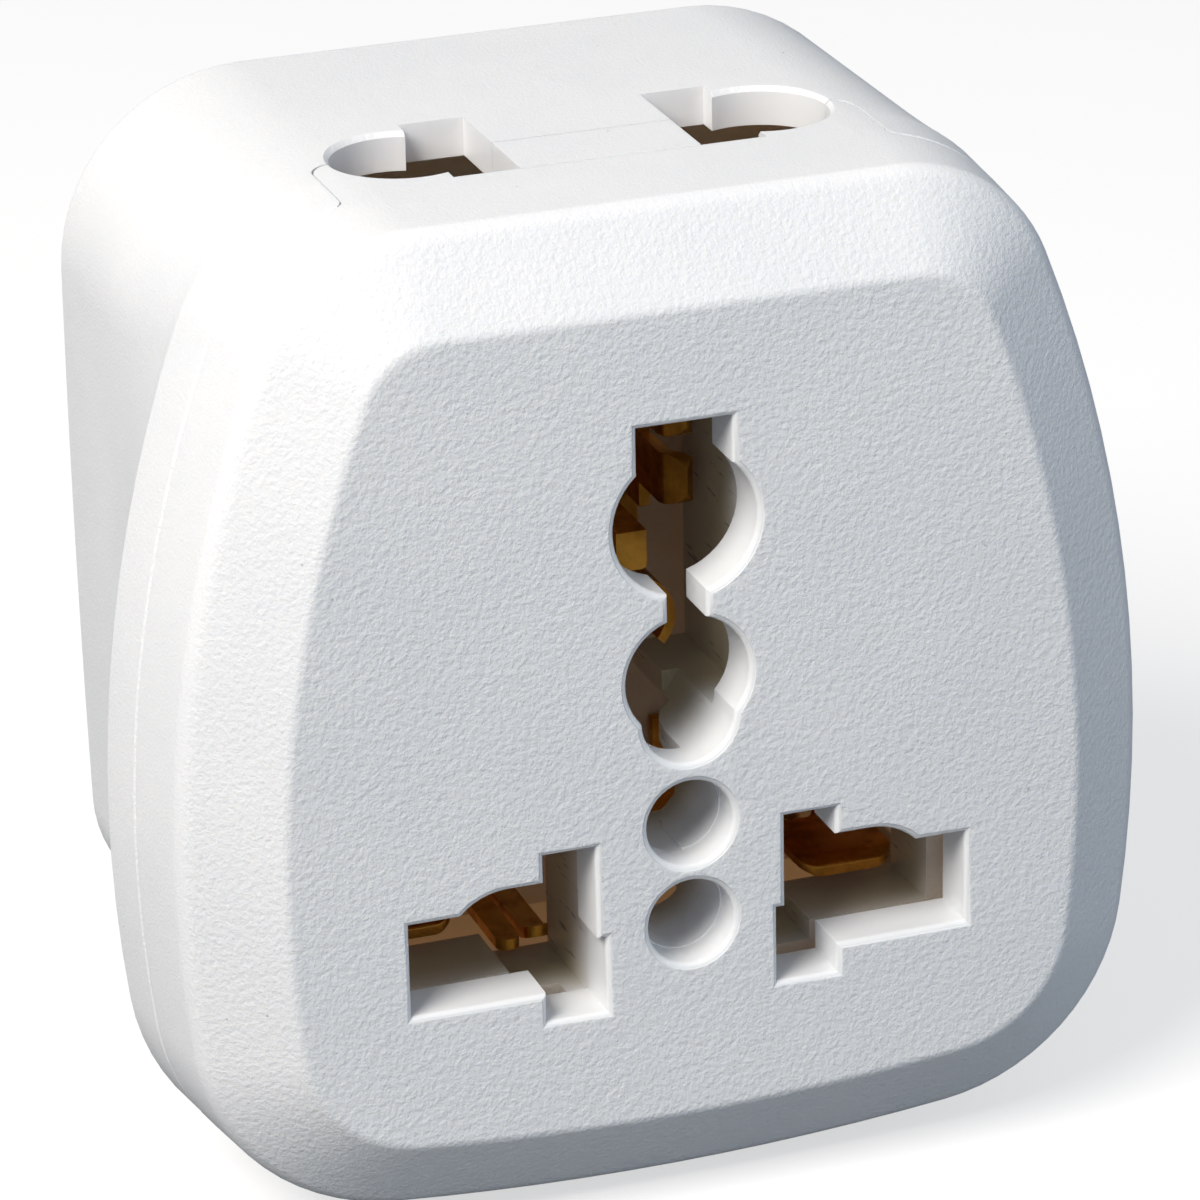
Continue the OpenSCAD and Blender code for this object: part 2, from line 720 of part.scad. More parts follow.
module neutral_contact() {
    color(brass_colour) from_face() mirror([1, 0, 0]) power_contact_shape();
}

module live_spring_leaf() {
    color(bronze) from_face() spring_leaf_shape(live_leaf_x, live_leaf_tip);
}

module neutral_spring_leaf() {
    color(bronze) from_face() mirror([1, 0, 0]) spring_leaf_shape(neutral_leaf_x, neutral_leaf_tip);
}

// One finger of the fixed earth leaf, bent outwards at its round-cornered mouth
module earth_finger(z, side) {
    tip = 8.3;
    r = 1;
    intersection() {
        sheet_z(z, [[side, earth_back], [side, tip + 1.3], [side + 0.15, tip + 0.95], [side + 1.05, tip]], strip_t);
        rotate([90, 0, 90]) linear_extrude(2 * side + 2) {
            rect([tip + r, earth_back], z);
            rect([tip, earth_back], z + [r, -r]);
            for (c = z + [r, -r]) translate([tip + r, c]) circle(r);
        }
    }
}

// Channel around the earth pin, with a split sleeve for round pins below it
module earth_contact() {
    side = earth_pin_size[0] / 2 + 0.05;
    plate_x = earth_leaf_hinge[1] - leaf_t / 2 - foot_gap;
    rivet_y = earth_leaf_hinge[0];
    floor_z = [earth_floor_z, earth_floor_z + strip_t];
    color(brass_colour) from_face() difference() {
        union() {
            // Fixed leaf on the right
            earth_finger(earth_lower_z, side);
            earth_finger(earth_upper_z, side);
            block([side, side + strip_t], [12.5, earth_back], [earth_floor_z, earth_upper_z[1]]);
            // Floor of the channel, and the plate that carries the flexing leaf
            block([plate_x - strip_t, side + strip_t], [rivet_y - 0.6, earth_back], floor_z);
            block([plate_x - strip_t, plate_x], [rivet_y - 0.6, earth_back], [earth_floor_z, earth_leaf_z[1]]);
            // Sleeve for round pins, open at the bottom
            slab(sleeve_front, earth_web[1]) translate([0, us_earth_z]) difference() {
                circle(sleeve_r[1]);
                circle(sleeve_r[0]);
                polygon([[0, 0], [3, -2.8], [3, -5], [-3, -5], [-3, -2.8]]);
            }
            // Plate between the sleeve and the channel
            slab(earth_web[0], earth_web[1]) difference() {
                rect([-side - strip_t, side + strip_t], [us_earth_z - 0.6, floor_z[1]]);
                translate([0, us_earth_z]) circle(sleeve_r[0]);
            }
            // Tab that hangs in front of the sleeve
            block([-0.8, 0.8], [sleeve_front, earth_web[1]], floor_z);
            slab(sleeve_front, sleeve_front + 0.8) tab_2d([-0.8, 0.8], [15.75, floor_z[1]], 0.3);
        }
        translate([-6, rivet_y, earth_z]) rotate([0, 90, 0]) cylinder(r = rivet_r + touch, h = 4);
    }
}

// A rectangle with rounded corners
module tab_2d(x, z, r) {
    rect(x + [r, -r], z);
    rect(x, z + [r, -r]);
    for (a = x + [r, -r], b = z + [r, -r]) translate([a, b]) circle(r);
}

module earth_spring_leaf() {
    side = -1.4;
    foot = earth_leaf_hinge[1] + leaf_t / 2;
    rivet_y = earth_leaf_hinge[0];
    color(bronze) from_face() difference() {
        sheet_z(earth_leaf_z + [0.1, -0.1],
                [[side - 0.5, 8.2], [side - 0.25, 8.6], [side, 9.3], [side, 11.6], [foot, 13.6], [foot, rivet_y + 0.6]],
                leaf_t);
        translate([-6, rivet_y, earth_z]) rotate([0, 90, 0]) cylinder(r = rivet_hole_r, h = 5);
    }
}

// ---- top contacts ----------------------------------------------------------------------------

// The live contact under the top socket; the neutral one is its mirror image
module top_contact_shape() {
    outer = top_hole_x + 2.6;
    foot = top_leaf_hinge[0] + leaf_t / 2 + foot_gap;
    foot_z = [top_contact_z[0], top_leaf_hinge[1] + 1.6];
    back = [web_depth, web_depth + strip_t];
    difference() {
        union() {
            // Outer leaf, bent outwards at its mouth
            sheet_y([12.2, back[1]], [[outer, top_contact_z[0]], [outer, top_contact_z[1] - 1.2],
                                      [outer + 0.5, top_contact_z[1]]], -strip_t);
            block([foot, outer + strip_t], back, [top_contact_z[0], 27]);
            block([foot, foot + strip_t], [top_leaf_depth[0] - 0.2, back[1]], foot_z);
            // Strip down to the contact behind the socket face
            block([11.6, 13.6], back, [power_pin[1] / 2 + 0.05 + strip_t + touch, top_contact_z[0] + 0.2]);
        }
        translate([foot - 1, (top_leaf_depth[0] + top_leaf_depth[1]) / 2, top_leaf_hinge[1]])
            rotate([0, 90, 0]) cylinder(r = rivet_r + touch, h = 2.5);
    }
}

module top_leaf_shape() {
    x = top_leaf_hinge[0] - leaf_t / 2;
    difference() {
        sheet_y(top_leaf_depth, [[x, top_leaf_hinge[1] - 1.2], [x, 19.5], [x - 0.2, 21], [x - 0.2, 27.6],
                                 [x - 0.6, top_contact_z[1]]], -leaf_t);
        translate([x - 2, (top_leaf_depth[0] + top_leaf_depth[1]) / 2, top_leaf_hinge[1]])
            rotate([0, 90, 0]) cylinder(r = rivet_hole_r, h = 4);
    }
}

module live_top_contact() {
    color(brass_colour) from_face() top_contact_shape();
}

module neutral_top_contact() {
    color(brass_colour) from_face() mirror([1, 0, 0]) top_contact_shape();
}

module live_top_leaf() {
    color(bronze) from_face() top_leaf_shape();
}

module neutral_top_leaf() {
    color(bronze) from_face() mirror([1, 0, 0]) top_leaf_shape();
}

// A rivet that holds a leaf on a strip: its axis is +Z, and the leaf's middle is at 0
module rivet() {
    grip = leaf_t / 2 + 0.12;
    low = -leaf_t / 2 - foot_gap - strip_t - touch;
    rotate_extrude() polygon(concat(
        [[0, low - rivet_head[1]], [rivet_head[0] - 0.3, low - rivet_head[1]], [rivet_head[0], low - 0.15],
         [rivet_head[0], low], [rivet_r, low], [rivet_r, grip], [rivet_head[0], grip],
         [rivet_head[0], grip + 0.1], [rivet_head[0] - 0.3, grip + rivet_head[1] - 0.05],
         [0, grip + rivet_head[1]]]));
}

module contact_rivets() {
    color(plated) from_face() {
        both() translate([pole_x, leaf_hinge[0], leaf_hinge[1]]) rivet();
        both() translate([top_leaf_hinge[0], (top_leaf_depth[0] + top_leaf_depth[1]) / 2, top_leaf_hinge[1]])
            rotate([0, -90, 0]) rivet();
        translate([earth_leaf_hinge[1], earth_leaf_hinge[0], earth_z]) rotate([0, 90, 0]) rivet();
    }
}

// ---- plug ------------------------------------------------------------------------------------

// A bar of the given width and height whose rear end is chamfered, between two depths
module tipped_bar(size, y0, y1, chamfer) {
    intersection() {
        translate([0, 0, -size[1] / 2]) linear_extrude(size[1]) tip_outline(size[0], y0, y1, chamfer);
        translate([-size[0] / 2, 0, 0]) rotate([90, 0, 90]) linear_extrude(size[0])
            rotate(-90) mirror([1, 0]) tip_outline(size[1], y0, y1, chamfer);
    }
}

module tip_outline(w, y0, y1, c) {
    polygon([[-w / 2, y0], [w / 2, y0], [w / 2, y1 - 1.4 * c], [w / 2 - c, y1], [c - w / 2, y1], [-w / 2, y1 - 1.4 * c]]);
}

module power_pin_shape() {
    core = power_pin - 2 * core_inset * [1, 1];
    end = body_depth + power_pin_l;
    slab(tail_end, flange_depth[1] - 0.1) pin_2d([4, 2.4]);
    slab(flange_depth[0], flange_depth[1]) pin_2d(power_pin, flange_margin);
    slab(flange_depth[0], end - 2) pin_2d(core);
    tipped_bar(power_pin, body_depth + sleeve_l + touch, end, 0.9);
}

module pin_sleeve_shape() {
    slab(flange_depth[1] + touch, body_depth + sleeve_l) difference() {
        pin_2d(power_pin);
        pin_2d(power_pin, touch - core_inset);
    }
}

module live_pin() {
    color(brass_colour) from_face() translate([pole_x, 0, 0]) power_pin_shape();
}

module neutral_pin() {
    color(brass_colour) from_face() translate([-pole_x, 0, 0]) power_pin_shape();
}

module live_pin_sleeve() {
    color(black) from_face() translate([pole_x, 0, 0]) pin_sleeve_shape();
}

module neutral_pin_sleeve() {
    color(black) from_face() translate([-pole_x, 0, 0]) pin_sleeve_shape();
}

module earth_pin() {
    color(brass_colour) from_face() translate([0, 0, earth_z]) {
        slab(earth_tail_end, flange_depth[1] - 0.1) pin_2d([2.4, 4.4]);
        slab(flange_depth[0], flange_depth[1]) pin_2d(earth_pin_size, flange_margin);
        tipped_bar(earth_pin_size, flange_depth[0] + 0.1, body_depth + earth_pin_l, 0.9);
    }
}

// Plate that holds the pins' flanges against the rear wall
module pin_retainer() {
    cut = [retainer_depth[0] - over, retainer_depth[1] + over];
    edge = bay_wall + gap;
    color(nylon) from_face() difference() {
        slab(retainer_depth[0], retainer_depth[1]) polygon(body_outline(wall + 0.8));
        for (p = screw_at) bar(p[0], p[1], housing_post_r + gap, cut[0], cut[1]);
        block(about(0, bay[0] / 2 + edge), cut, about(fuse_z, bay[1] / 2 + edge));
        both() translate([pole_x, 0, 0]) slab(cut[0], cut[1]) pin_2d([4, 2.4], gap);
        translate([0, 0, earth_z]) slab(cut[0], cut[1]) pin_2d([2.4, 4.4], gap);
    }
}

// ---- fuse ------------------------------------------------------------------------------------

// Drawer whose face is flush with the plug face
module fuse_carrier() {
    half_w = bay[0] / 2 - gap;
    half_h = bay[1] / 2 - gap;
    face = [body_depth - 1.6, body_depth];
    color(white) from_face() translate([0, 0, fuse_z]) difference() {
        union() {
            block([-half_w, half_w], face, [-half_h, half_h]);
            both() block([fuse_l / 2 + gap, half_w], [fuse_depth - 2.6, face[1] - 0.1], [-half_h, half_h]);
            block([-half_w, half_w], [fuse_depth - 2.6, face[1] - 0.1], [-half_h, gap - fuse_r - clip_t - 0.2]);
            // Ribs that grip the tube between its caps
            for (s = [-1, 1]) block([-5.5, 5.5], [fuse_depth - 1.2, face[1] - 0.1], s * [fuse_r + touch, half_h]);
            block([-5.5, 5.5], [fuse_depth + fuse_r + touch, face[1] - 0.1], [-fuse_r - 0.2, fuse_r + 0.2]);
        }
        // Notch for a screwdriver's tip
        block([-3, 3], [body_depth - 0.8, body_depth + over], [half_h - 1.1, half_h + over]);
        // Finger line along the middle of the face
        block([-9, 9], [body_depth - 0.25, body_depth + over], [-0.2, 0.2]);
    }
}

module fuse_tube() {
    color(ceramic) from_face() translate([0, fuse_depth, fuse_z]) rotate([0, 90, 0]) difference() {
        cylinder(r = fuse_r - 0.3, h = fuse_l - 1, center = true);
        cylinder(r = 1.6, h = fuse_l, center = true);
    }
}

module fuse_end_caps() {
    color(plated) from_face() both() translate([fuse_l / 2 - cap_l, fuse_depth, fuse_z]) rotate([0, 90, 0])
        rotate_extrude() polygon([[0, cap_l], [fuse_r - 0.35, cap_l], [fuse_r, cap_l - 0.35], [fuse_r, 0],
                                  [fuse_r - 0.28, 0], [fuse_r - 0.28, cap_l - 0.45], [0, cap_l - 0.45]]);
}

// U-shaped clip around a cap; x is where its nearer side is
module clip_shape(x) {
    r = fuse_r + touch;
    translate([0, 0, fuse_z]) {
        block(x, [clip_depth, clip_depth + clip_t], [-r - clip_t, r + clip_t]);
        for (s = [-1, 1]) block(x, [clip_depth, fuse_depth + 1.9], s * [r, r + clip_t]);
    }
}

clip_x = [8.6, 12.4];

module fuse_clip_supply() {
    color(brass_colour) from_face() {
        clip_shape(clip_x);
        block(clip_x, [clip_depth, clip_depth + clip_t], [-2, fuse_z]);
    }
}

module fuse_clip_load() {
    color(brass_colour) from_face() mirror([1, 0, 0]) clip_shape(clip_x);
}

// ---- links -----------------------------------------------------------------------------------

link_x = [9.6, 12.6];
link_tab_z = [-0.6, 0];

// Strip from the fuse's load side, across the middle, to the live contact
module load_link() {
    y = [link_depth, link_depth + strip_t];
    z = about(fuse_z, 1);
    color(brass_colour) from_face() {
        block([-link_x[1], link_x[1]], y, z);
        block(-clip_x, [y[0], clip_depth - touch], z);
        block(link_x, y, [link_tab_z[0], z[1]]);
        block(link_x, [web_depth + strip_t + touch, y[1]], link_tab_z);
    }
}

module neutral_link() {
    color(brass_colour) from_face() mirror([1, 0, 0]) {
        block([9, 13.2], [clip_depth, clip_depth + clip_t], [-2, 2]);
        block(link_x, [web_depth + strip_t + touch, clip_depth + 0.1], link_tab_z);
    }
}

module earth_link() {
    plate_x = earth_leaf_hinge[1] - leaf_t / 2 - foot_gap - strip_t;
    x = [plate_x - touch - strip_t, plate_x - touch];
    z = about(earth_z, 1.5);
    y = [earth_tail_end - touch - strip_t, earth_tail_end - touch];
    color(brass_colour) from_face() {
        block(x, [earth_back - 1.5, y[1]], z);
        block([x[0], 2], y, z);
    }
}

front_cover();
rear_housing();
housing_screws();
insulating_plate();
live_contact();
neutral_contact();
live_spring_leaf();
neutral_spring_leaf();
earth_contact();
earth_spring_leaf();
live_top_contact();
neutral_top_contact();
live_top_leaf();
neutral_top_leaf();
contact_rivets();
live_pin();
neutral_pin();
earth_pin();
live_pin_sleeve();
neutral_pin_sleeve();
pin_retainer();
fuse_carrier();
fuse_tube();
fuse_end_caps();
fuse_clip_supply();
fuse_clip_load();
load_link();
neutral_link();
earth_link();
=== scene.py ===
"""Looks of the universal travel adapter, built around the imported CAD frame."""

import json
import math

import bpy
from mathutils import Matrix, Vector


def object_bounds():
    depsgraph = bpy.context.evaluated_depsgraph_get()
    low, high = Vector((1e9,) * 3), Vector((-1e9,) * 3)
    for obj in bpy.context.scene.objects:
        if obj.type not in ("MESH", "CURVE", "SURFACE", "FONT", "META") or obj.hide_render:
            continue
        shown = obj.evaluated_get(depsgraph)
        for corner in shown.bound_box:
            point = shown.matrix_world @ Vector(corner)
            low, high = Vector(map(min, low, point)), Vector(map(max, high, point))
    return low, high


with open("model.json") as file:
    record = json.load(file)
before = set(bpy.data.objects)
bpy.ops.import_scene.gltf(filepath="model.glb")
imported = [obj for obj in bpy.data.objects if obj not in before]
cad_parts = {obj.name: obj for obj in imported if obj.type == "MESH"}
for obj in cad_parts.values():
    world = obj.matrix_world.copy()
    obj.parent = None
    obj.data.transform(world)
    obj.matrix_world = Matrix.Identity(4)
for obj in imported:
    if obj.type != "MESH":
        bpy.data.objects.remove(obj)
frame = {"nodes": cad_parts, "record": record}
cad_low, cad_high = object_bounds()

MM = 0.001
WHITE = (1, 1, 1)
MIDDLE = (cad_low + cad_high) / 2

# The camera: where it looks, in the row frame, and how far away it stands
CAMERA_AZIMUTH = math.radians(-19.2)
CAMERA_ELEVATION = math.radians(22.54)
CAMERA_ROLL = math.radians(-1.2)
CAMERA_DISTANCE = 295.4 * MM
CAMERA_TARGET = Vector((0, -17.5, 12)) * MM
CAMERA_SHIFT = (0.70 * MM, -0.48 * MM)
CAMERA_LENS = 174.5
CAMERA_SENSOR = 36
CAMERA_CLIP = (0.01, 20)

# The light: one large soft lamp from the upper left, a weak cool one from the right, a cool dim
# surround, and little bounce from the floor
LAMP_DISTANCE = 0.6
KEY_DIRECTION = Vector((-0.60, -0.41, 0.69))
KEY_SIZE = 0.32
KEY_POWER = 4.05
KEY_COLOUR = (1.0, 0.955, 0.885)
FILL_DIRECTION = Vector((0.72, -0.65, 0.25))
FILL_SIZE = 0.4
FILL_POWER = 0.58
FILL_COLOUR = (0.66, 0.81, 0.97)
AMBIENT_LOW = (0.25, 0.303, 0.375)
AMBIENT_HIGH = (0.29, 0.285, 0.28)

# The floor: seen as near white, and lighting the object as FLOOR_BOUNCE
FLOOR_SIZE = 6
FLOOR_GAP = 0.05 * MM
FLOOR_TONES = ((0.44, 0.44, 0.44), (0.46, 0.46, 0.46))
FLOOR_GLOW = 0.62
FLOOR_BOUNCE = (0.18, 0.19, 0.20)


# ---- node helpers ----------------------------------------------------------------------------

class Nodes:
    """A node tree, with short calls that add a node, set it up and return its output."""

    def __init__(self, tree):
        self.tree = tree

    def plug(self, socket, value):
        """Sets a socket to a value or a colour, or links another node's output to it."""
        if isinstance(value, bpy.types.NodeSocket):
            self.tree.links.new(value, socket)
        elif isinstance(value, (tuple, list)) and len(value) == 3 and socket.type == "RGBA":
            socket.default_value = (*value, 1)
        else:
            socket.default_value = value

    def add(self, kind, output=0, inputs=None, **settings):
        made = self.tree.nodes.new(kind)
        for key, value in settings.items():
            setattr(made, key, value)
        for key, value in (inputs or {}).items():
            self.plug(made.inputs[key], value)
        return made.outputs[output]

    def math(self, operation, *values):
        return self.add("ShaderNodeMath", inputs=dict(enumerate(values)), operation=operation)

    def product(self, first, *others):
        for other in others:
            first = self.math("MULTIPLY", first, other)
        return first

    def largest(self, first, *others):
        for other in others:
            first = self.math("MAXIMUM", first, other)
        return first

    def invert(self, mask):
        return self.math("SUBTRACT", 1.0, mask)

    def mix(self, factor, a, b):
        """The colour that is a where factor is 0 and b where it is 1."""
        return self.add("ShaderNodeMix", output=2, inputs={0: factor, 6: a, 7: b},
                        data_type="RGBA")

    def blend(self, factor, a, b):
        """The number that is a where factor is 0 and b where it is 1."""
        return self.add("ShaderNodeMix", inputs={0: factor, 2: a, 3: b}, data_type="FLOAT")

    def step(self, value, low, high, to_low=0.0, to_high=1.0):
        """value, eased from to_low at low to to_high at high."""
        return self.add("ShaderNodeMapRange", interpolation_type="SMOOTHSTEP",
                        inputs={0: value, 1: low, 2: high, 3: to_low, 4: to_high})

    def below(self, value, low, high):
        """1 where value is less than low, eased to 0 at high."""
        return self.step(value, low, high, to_low=1.0, to_high=0.0)

    def coordinate(self, output):
        return self.add("ShaderNodeTexCoord", output=output)

    def axes(self, output):
        """The three parts of a coordinate output, x, y and z."""
        split = self.tree.nodes.new("ShaderNodeSeparateXYZ")
        self.plug(split.inputs[0], self.coordinate(output))
        return split.outputs

    def place(self, stretch=(1, 1, 1)):
        """The point on the object, in metres, multiplied by stretch."""
        return self.add("ShaderNodeMapping",
                        inputs={"Vector": self.coordinate("Object"), "Scale": stretch})

    def noise(self, size, detail=3.0, roughness=0.5, stretch=(1, 1, 1), offset=0.0):
        """Noise whose features are about size metres wide, and 1 / stretch times that per axis."""
        return self.add("ShaderNodeTexNoise", noise_dimensions="4D", inputs={
            "Vector": self.place(stretch), "W": offset, "Scale": 1 / size,
            "Detail": detail, "Roughness": roughness})

    def cells(self, size):
        """Distance to the nearest of points that are about size metres apart, in sizes."""
        return self.add("ShaderNodeTexVoronoi", feature="F1",
                        inputs={"Vector": self.place(), "Scale": 1 / size})

    def bump(self, height, distance, strength):
        return self.add("ShaderNodeBump", inputs={
            "Height": height, "Distance": distance, "Strength": strength})

    def seen_or_lit(self, seen, lit):
        """A shader that the camera sees as seen, and that lights the object as lit."""
        camera_ray = self.add("ShaderNodeLightPath", output="Is Camera Ray")
        return self.add("ShaderNodeMixShader", inputs={0: camera_ray, 1: lit, 2: seen})


class Material(Nodes):
    def __init__(self, name):
        self.material = bpy.data.materials.new(name)
        self.material.use_nodes = True
        super().__init__(self.material.node_tree)
        self.shader = self.tree.nodes["Principled BSDF"]

    def finish(self, **values):
        for key, value in values.items():
            self.plug(self.shader.inputs[key.replace("_", " ")], value)
        return self.material


# ---- the white shells ------------------------------------------------------------------------

# Places on the shells; depth is counted from the socket face towards the plug. The holes, the
# chambers and their rims all lie inside INNER_X and INNER_Z.
FACE_Y = cad_low.y
WALL = 2 * MM
INNER_X = 15.6 * MM
INNER_Z = (-6.2 * MM, 28 * MM)
TUBE_HALF_WIDTH = 2.3 * MM          # the tubes of the two round holes
TUBE_TOP = 8 * MM
BLOCKS_END = 13 * MM                # depth at which the blocks round the chambers have ended
TOP_HOLES = (9.5 * MM, 19 * MM)     # depths between which the holes in the top face lie
TOP_HOLES_HALF_WIDTH = 14.1 * MM

# How far each mask takes to fade
FADE = 0.2 * MM
TUBE_FADE = 0.1 * MM
BLOCKS_FADE = 2 * MM
BEHIND_WALL = (WALL - 0.1 * MM, WALL + 0.5 * MM)

# Distance along a face's normal from the middle to the face: negative where it faces inwards
FACING_IN = (-1.5 * MM, -0.5 * MM)

# Parts of a normal along an axis, between which a mask fades
SQUARE_ON = (0.95, 0.995)
FORWARD = (0.4, 0.75)
SIDEWAYS = (0.8, 0.95)
UPRIGHT = (0.5, 0.7)

# Depths at which the painted shade of the chambers starts and is full: outside the tubes, and in
# them
DARK_STARTS = (2.8 * MM, 4 * MM)
DARK_FULL = (7 * MM, 7.5 * MM)
CHAMBER_GLOW_DEPTHS = (1.5 * MM, 4 * MM)

# The spark texture's depth, and the weights of its coarse and fine grain
SPARK_DEPTH = 0.064 * MM
COARSE_HEIGHT = 1.6
FINE_HEIGHT = 0.6

PLASTIC = ((0.80, 0.815, 0.84), (0.83, 0.84, 0.86))
# Painted shade: dark warm colours laid on the deep chambers and on the inner walls, standing in
# for the shade inside the socket
CHAMBER_PAINTED_SHADE = (0.38, 0.31, 0.16)
LINING_PAINTED_SHADE = (0.55, 0.42, 0.25)
PAINTED_SHADE_AMOUNT = 0.85

# Faint emission that stands in for light scattered in the chambers and through the walls
CHAMBER_GLOW = (1.0, 0.88, 0.70)
CHAMBER_GLOW_STRENGTH = 0.008
LINING_GLOW = (1.0, 0.56, 0.26)
LINING_GLOW_STRENGTH = 0.1

SCUFF_COLOUR = (0.07, 0.055, 0.045)
SCUFF_AMOUNT = 0.75
SPECK_COLOUR = (0.25, 0.23, 0.21)
SPECK_AMOUNT = 0.5
POLISHED = 0.32


def wall_lining(m, outside, y, z, depth):
    """Inner surfaces of the outer wall: they face the middle, deeper than the wall is thick."""
    away = m.add("ShaderNodeVectorMath", operation="SUBTRACT",
                 inputs={0: m.coordinate("Object"), 1: MIDDLE})
    facing_out = m.add("ShaderNodeVectorMath", output=1, operation="DOT_PRODUCT",
                       inputs={0: away, 1: m.coordinate("Normal")})
    mask = m.below(facing_out, *FACING_IN)
    for distance in (depth, m.math("MULTIPLY", y, -1), m.math("SUBTRACT", cad_high.z, z)):
        mask = m.product(mask, m.step(distance, *BEHIND_WALL))
    return m.product(mask, outside)


def moulded_white(name, outer_skin):
    """White ABS: spark-eroded skin outside, smooth rims, scuffed chambers inside with painted
    shade that deepens with depth, and a faint painted glow.
    """
    m = Material(name)
    x, y, z = m.axes("Object")
    nx, ny, nz = m.axes("Normal")
    across = m.math("ABSOLUTE", x)
    depth = m.math("SUBTRACT", y, FACE_Y)
    forward = m.math("MULTIPLY", ny, -1)

    outside = m.step(m.largest(m.math("SUBTRACT", across, INNER_X),
                               m.math("SUBTRACT", z, INNER_Z[1]),
                               m.math("SUBTRACT", INNER_Z[0], z)), -FADE, FADE)
    facing = m.largest(m.step(forward, *SQUARE_ON), m.step(ny, *SQUARE_ON))
    # The upright walls of the top holes are smooth too
    hole_walls = m.product(
        m.step(depth, TOP_HOLES[0], TOP_HOLES[0] + FADE),
        m.below(depth, TOP_HOLES[1], TOP_HOLES[1] + FADE),
        m.below(across, TOP_HOLES_HALF_WIDTH, TOP_HOLES_HALF_WIDTH + FADE),
        m.below(nz, *UPRIGHT))
    skin = m.largest(outside, facing) if outer_skin else 1.0
    skin = m.product(skin, m.invert(hole_walls))

    # Coarse spark texture on the face and bevel, finer on the sides
    coarse = m.noise(0.3 * MM, detail=2, roughness=0.6)
    fine = m.noise(0.16 * MM, detail=1, roughness=0.6, offset=3)
    spark = m.blend(m.step(forward, *FORWARD), m.product(fine, FINE_HEIGHT),
                    m.product(coarse, COARSE_HEIGHT))

    # Chambers: painted shade that darkens with depth, with dark scuffs on their side walls
    core = m.product(m.invert(outside), m.below(depth, BLOCKS_END, BLOCKS_END + BLOCKS_FADE))
    tube = m.product(m.below(across, TUBE_HALF_WIDTH - TUBE_FADE, TUBE_HALF_WIDTH),
                     m.below(z, TUBE_TOP - TUBE_FADE, TUBE_TOP))
    dark = m.step(depth, m.blend(tube, *DARK_STARTS), m.blend(tube, *DARK_FULL))
    inside = m.product(dark, core)
    glow = m.product(m.step(depth, *CHAMBER_GLOW_DEPTHS, to_high=CHAMBER_GLOW_STRENGTH), core)
    rub = m.noise(0.35 * MM, detail=4, roughness=0.6, stretch=(1, 0.12, 1), offset=7)
    scuffs = m.product(m.step(rub, 0.60, 0.66), m.step(m.math("ABSOLUTE", nx), *SIDEWAYS), inside)

    lining = wall_lining(m, outside, y, z, depth)
    tone = m.step(m.noise(9 * MM, detail=2, offset=1), 0.3, 0.7)
    base = m.mix(tone, *PLASTIC)
    # Painted shade: the deep chambers and the inner walls of the shell are coloured dark and warm
    base = m.mix(m.product(m.largest(inside, lining), PAINTED_SHADE_AMOUNT), base,
                 m.mix(lining, CHAMBER_PAINTED_SHADE, LINING_PAINTED_SHADE))
    base = m.mix(m.product(scuffs, SCUFF_AMOUNT), base, SCUFF_COLOUR)
    specks = m.below(m.cells(2.9 * MM), 0.018, 0.028)
    base = m.mix(m.product(specks, SPECK_AMOUNT), base, SPECK_COLOUR)
    matt = m.step(m.noise(0.5 * MM), 0.3, 0.7, to_low=0.60, to_high=0.72)
    return m.finish(
        Base_Color=base, Roughness=m.blend(skin, POLISHED, matt), IOR=1.5, Specular_IOR_Level=0.4,
        Normal=m.bump(m.product(spark, skin), SPARK_DEPTH, strength=0.8),
        Subsurface_Weight=0.2, Subsurface_Scale=0.8 * MM, Subsurface_Radius=(1.0, 0.9, 0.75),
        Emission_Color=m.mix(lining, CHAMBER_GLOW, LINING_GLOW),
        Emission_Strength=m.math("ADD", glow, m.product(lining, LINING_GLOW_STRENGTH)))


# ---- metals and the other materials ----------------------------------------------------------

BRASS = dict(bright=(0.74, 0.37, 0.06), dark=(0.34, 0.14, 0.02), roughness=0.38, tarnish=0.75)
BRONZE = dict(bright=(0.66, 0.30, 0.05), dark=(0.26, 0.10, 0.015), roughness=0.36, tarnish=0.8)
PLATE = dict(bright=(0.66, 0.65, 0.63), dark=(0.42, 0.40, 0.37), roughness=0.27, tarnish=0.5)
PIN_BRASS = dict(bright=(0.78, 0.58, 0.27), dark=(0.55, 0.37, 0.15), roughness=0.24, tarnish=0.22,
                 grain=(1, 0.08, 1))
EDGE_TARNISH = 0.3
EDGE_POLISH = 0.07
ROUGHNESS_SPREAD = 0.08
TARNISH_ROUGHNESS = 0.14


def sheet_metal(name, bright, dark, roughness, tarnish, grain=(1, 1, 1)):
    """Rolled or drawn metal: fine draw lines along the grain, blotches and spots of tarnish."""
    m = Material(name)
    blotch = m.step(m.noise(2.2 * MM, detail=4, roughness=0.6, offset=2), 0.35, 0.68)
    lines = m.noise(0.12 * MM, roughness=0.6, stretch=grain, offset=5)
    spots = m.step(m.noise(0.35 * MM, roughness=0.65, offset=9), 0.55, 0.75)
    base = m.mix(m.product(blotch, tarnish), bright, dark)
    base = m.mix(m.product(spots, tarnish / 2), base, dark)
    rough = m.step(lines, 0.2, 0.8, roughness - ROUGHNESS_SPREAD, roughness + ROUGHNESS_SPREAD)
    rough = m.math("ADD", rough, m.product(blotch, TARNISH_ROUGHNESS))
    height = m.math("ADD", lines, m.product(m.noise(0.7 * MM, detail=2, offset=4), 1.5))
    return m.finish(Base_Color=base, Metallic=1.0, Roughness=rough,
                    Normal=m.bump(height, 0.008 * MM, strength=0.7))


def metal_looks(name, metal):
    """The metal, and the same metal where its edges are rubbed bright."""
    rubbed = {**metal, "dark": metal["bright"], "tarnish": EDGE_TARNISH,
              "roughness": metal["roughness"] - EDGE_POLISH}
    return [sheet_metal(name, **metal), sheet_metal(name + "_edge", **rubbed)]


